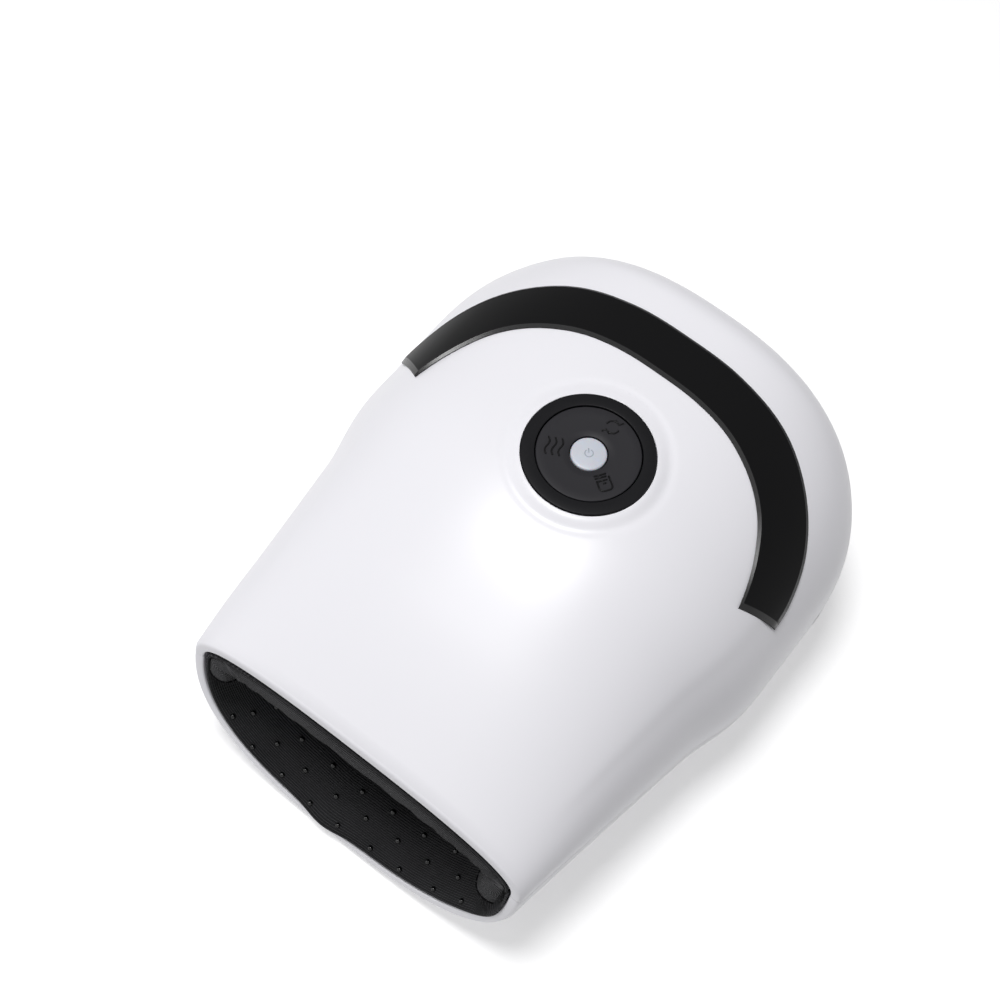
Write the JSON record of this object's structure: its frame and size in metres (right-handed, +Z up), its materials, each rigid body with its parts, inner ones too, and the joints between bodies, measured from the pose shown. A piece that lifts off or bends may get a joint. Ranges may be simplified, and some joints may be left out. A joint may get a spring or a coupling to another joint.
{
  "type": "hand massager",
  "caption": "Cordless hand massager: a rounded white shell with a lined mouth for one hand, a round dial of keys on top and a black arc trim behind it.",
  "frame": {"origin": "middle of the plane that the feet stand on, half way along the overall length", "axes": "+X to the right of the hand that goes in, +Y from the mouth to the rear, +Z up"},
  "size_m": [0.175, 0.2197, 0.1051],
  "materials": {
    "white_shell": "glossy moulded ABS, slightly bluish white",
    "black_ring": "glossy black ABS",
    "black_trim": "satin black ABS",
    "soft_black": "satin black with moulded symbols",
    "pale_lens": "pale translucent lens",
    "black_knit": "fine ribbed black knit with glossy dots",
    "grey_hem": "dark grey hem of the knit",
    "grey_frame": "moulded, unpainted",
    "bladder": "welded TPU film",
    "heater_film": "film heater on felt",
    "silicone": "soft, translucent white",
    "circuit_board": "green solder mask",
    "black_plastic": "moulded",
    "nylon": "natural nylon",
    "steel": "zinc-plated",
    "cell_sleeve": "blue sleeve on a lithium cell",
    "black_rubber": "moulded"
  },
  "bodies": {
    "case": {"top_shell": "white_shell", "bottom_shell": "white_shell", "liner_ring": "white_shell", "dial_bezel": "black_ring", "arc_trim": "black_trim", "liner_upper": "black_knit", "liner_lower": "black_knit", "liner_hem": "grey_hem", "upper_frame": "grey_frame", "lower_frame": "grey_frame", "rear_bracket": "grey_frame", "node_plate": "grey_frame", "upper_airbag": "bladder", "lower_airbag": "bladder", "heating_pad": "heater_film", "heater_thermostat": "silicone", "hose_pump": "silicone", "hose_upper": "silicone", "hose_lower": "silicone", "hose_valve": "silicone", "main_board": "circuit_board", "battery_board": "circuit_board", "power_switch": "black_plastic", "mode_rear_switch": "black_plastic", "mode_left_switch": "black_plastic", "mode_right_switch": "black_plastic", "buzzer": "black_plastic", "charging_socket": "black_plastic", "pump_head": "black_plastic", "valve_body": "black_plastic", "air_manifold": "nylon", "board_screw_front": "steel", "board_screw_rear": "steel", "case_screw_side_left": "steel", "case_screw_side_right": "steel", "case_screw_rear_left": "steel", "case_screw_rear_right": "steel", "pump_motor": "steel", "valve_spring": "steel", "battery_cell_lower": "cell_sleeve", "battery_cell_upper": "cell_sleeve", "pump_cradle": "black_rubber", "foot_front_left": "black_rubber", "foot_front_right": "black_rubber", "foot_rear_left": "black_rubber", "foot_rear_right": "black_rubber", "lead_battery": "black_rubber", "lead_pump": "black_rubber", "lead_valve": "black_rubber", "lead_heater": "black_rubber", "lead_socket": "black_rubber"},
    "power_key": {"power_button": "pale_lens", "power_plunger": "nylon"},
    "mode_key": {"mode_plate": "soft_black", "mode_rear_plunger": "nylon", "mode_left_plunger": "nylon", "mode_right_plunger": "nylon"},
    "pump_rotor": {"pump_shaft": "steel"},
    "valve_stem": {"valve_plunger": "steel"}
  },
  "joints": [
    {"name": "power_press", "type": "slide", "parent": "case", "child": "power_key", "axis": [0, 0.0244, -0.9997], "range_m": [0, 0.0005], "stiffness_N_per_m": 1500, "springref_m": -0.0005},
    {"name": "mode_press", "type": "slide", "parent": "case", "child": "mode_key", "axis": [0, 0.0244, -0.9997], "range_m": [0, 0.0005], "stiffness_N_per_m": 3000, "springref_m": -0.0005},
    {"name": "pump_spin", "type": "hinge", "parent": "case", "child": "pump_rotor", "pos_m": [0, 0.07963, 0.065], "axis": [1, 0, 0], "continuous": true},
    {"name": "valve_slide", "type": "slide", "parent": "case", "child": "valve_stem", "axis": [0, 0, -1], "range_m": [0, 0.0015], "stiffness_N_per_m": 200, "springref_m": -0.002, "deforming": ["valve_spring"]}
  ]
}
